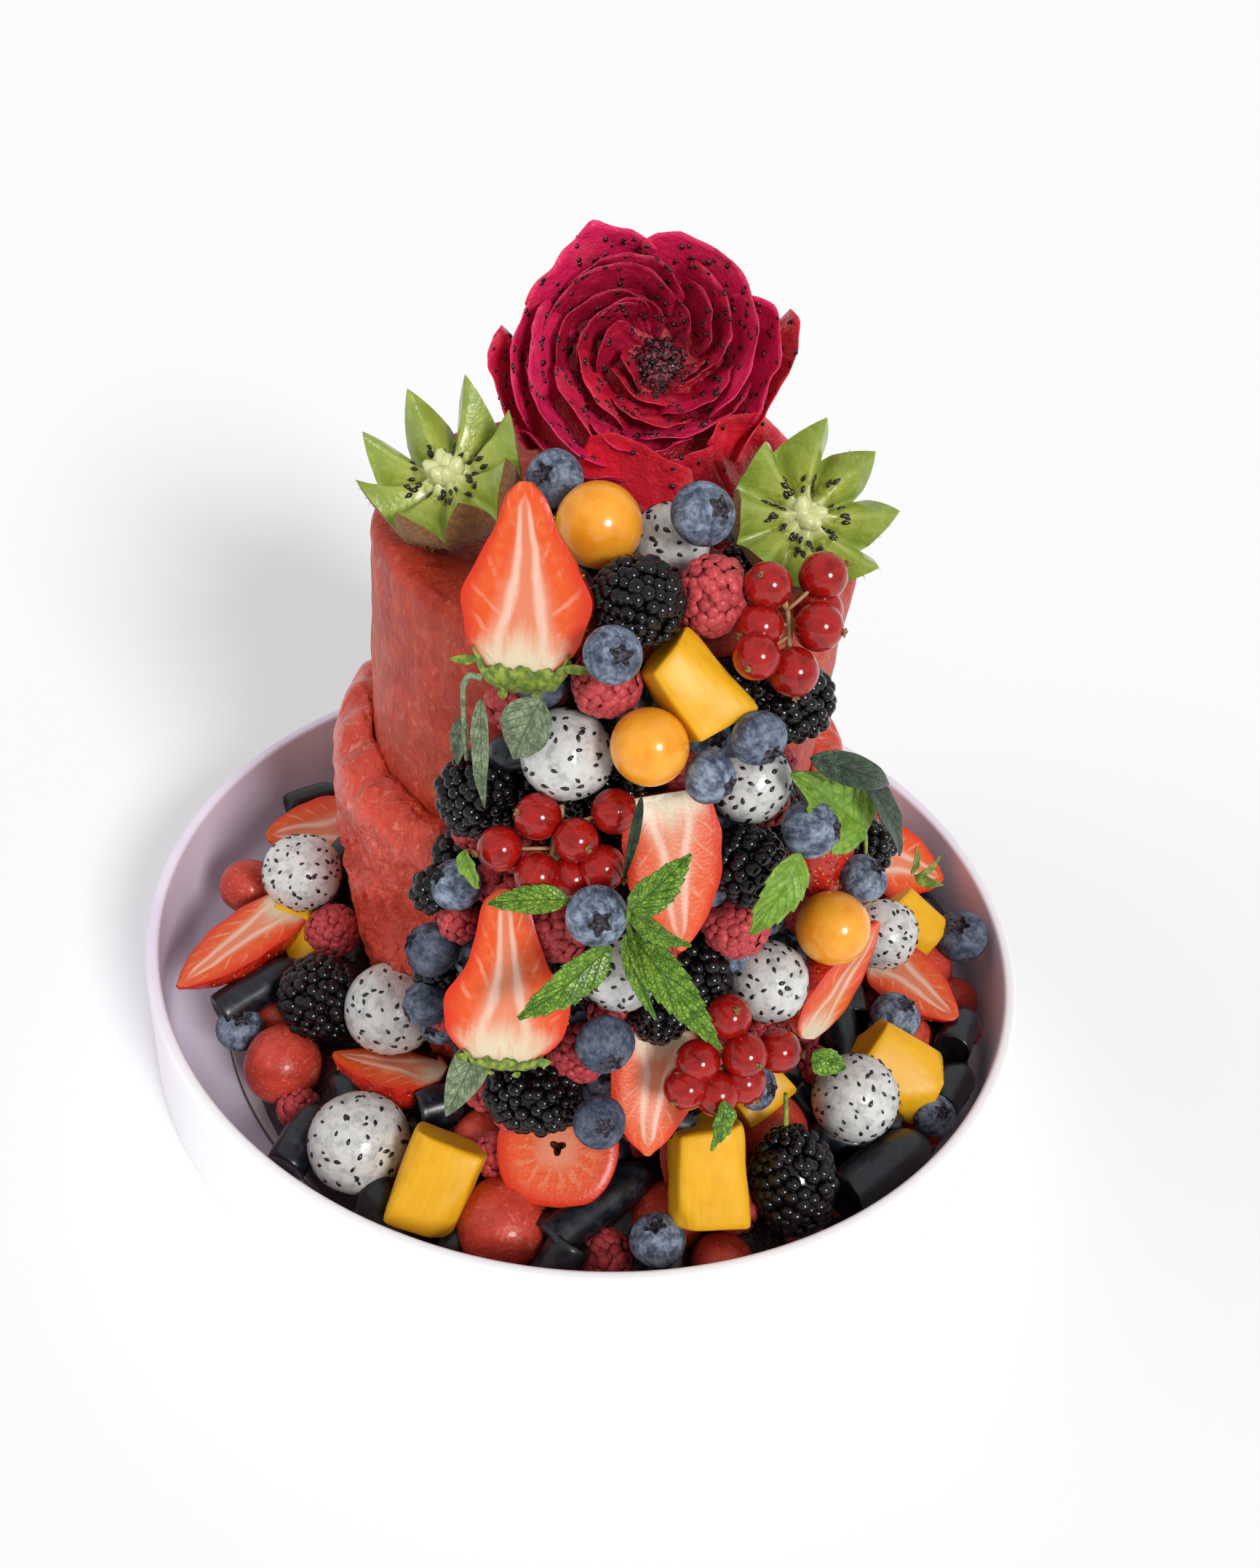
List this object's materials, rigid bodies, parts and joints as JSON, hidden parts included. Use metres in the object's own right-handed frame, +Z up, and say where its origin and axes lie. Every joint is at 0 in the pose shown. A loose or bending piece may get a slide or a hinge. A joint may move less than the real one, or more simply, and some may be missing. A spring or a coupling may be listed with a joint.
{
  "type": "watermelon cake",
  "caption": "Two-tier cake of peeled watermelon with a carved red pitaya rose, kiwi crowns, a cascade of fruit down the front and a bed of cut fruit in a low round tray.",
  "frame": {"origin": "centre of the tray's underside, which is the bottom centre of the whole part's box", "axes": "+Z up, the cascade and the rose face -Y, +X to the viewer's right"},
  "size_m": [0.282, 0.282, 0.2612],
  "materials": {
    "tray": "smooth satin card, pale lilac",
    "board": "smooth white card with a thin brown edge",
    "watermelon": "wet, finely fibrous red watermelon flesh",
    "red_pitaya": "wet crimson flesh with small black seeds",
    "kiwi": "moist green flesh, pale core, black seeds, hairy brown skin",
    "blueberry": "dark blue skin under a pale waxy bloom",
    "physalis": "smooth glossy orange skin",
    "white_pitaya": "moist translucent white flesh with black seeds",
    "bramble": "glossy black drupelets",
    "raspberry": "velvety pink-red drupelets",
    "strawberry": "glossy red skin with seeds, wet cut face with a pale heart",
    "mango": "smooth moist yellow flesh",
    "currant": "glassy translucent deep red skin",
    "mixed_fruit": "loose fruit of all the kinds above"
  },
  "bodies": {
    "root": {"tray": "tray", "board": "board", "lower_tier": "watermelon", "upper_tier": "watermelon", "tucked_fruit": "mixed_fruit", "top_mound": "mixed_fruit", "pitaya_rose": "red_pitaya", "kiwi_left": "kiwi", "kiwi_right": "kiwi", "physalis_1": "physalis", "blueberry_1": "blueberry", "blueberry_2": "blueberry", "strawberry_1": "strawberry", "blueberry_3": "blueberry", "bramble_1": "bramble", "currants_1": "currant", "raspberry_1": "raspberry", "pitaya_ball_1": "white_pitaya", "bramble_2": "bramble", "blueberry_4": "blueberry", "blueberry_5": "blueberry", "physalis_2": "physalis", "mango_1": "mango", "raspberry_2": "raspberry", "bramble_3": "bramble", "pitaya_ball_2": "white_pitaya", "pitaya_ball_3": "white_pitaya", "currants_2": "currant", "bramble_4": "bramble", "blueberry_6": "blueberry", "strawberry_2": "strawberry", "bramble_5": "bramble", "blueberry_7": "blueberry", "strawberry_3": "strawberry", "bramble_6": "bramble", "physalis_3": "physalis", "blueberry_8": "blueberry", "raspberry_3": "raspberry", "strawberry_4": "strawberry", "raspberry_4": "raspberry", "blueberry_9": "blueberry", "blueberry_10": "blueberry", "blueberry_11": "blueberry", "pitaya_ball_4": "white_pitaya", "bramble_7": "bramble", "bramble_8": "bramble", "pitaya_ball_5": "white_pitaya", "strawberry_5": "strawberry", "blueberry_12": "blueberry", "currants_3": "currant", "strawberry_6": "strawberry", "raspberry_5": "raspberry", "bramble_9": "bramble", "blueberry_13": "blueberry", "fruit_bed": "mixed_fruit"}
  },
  "joints": []
}
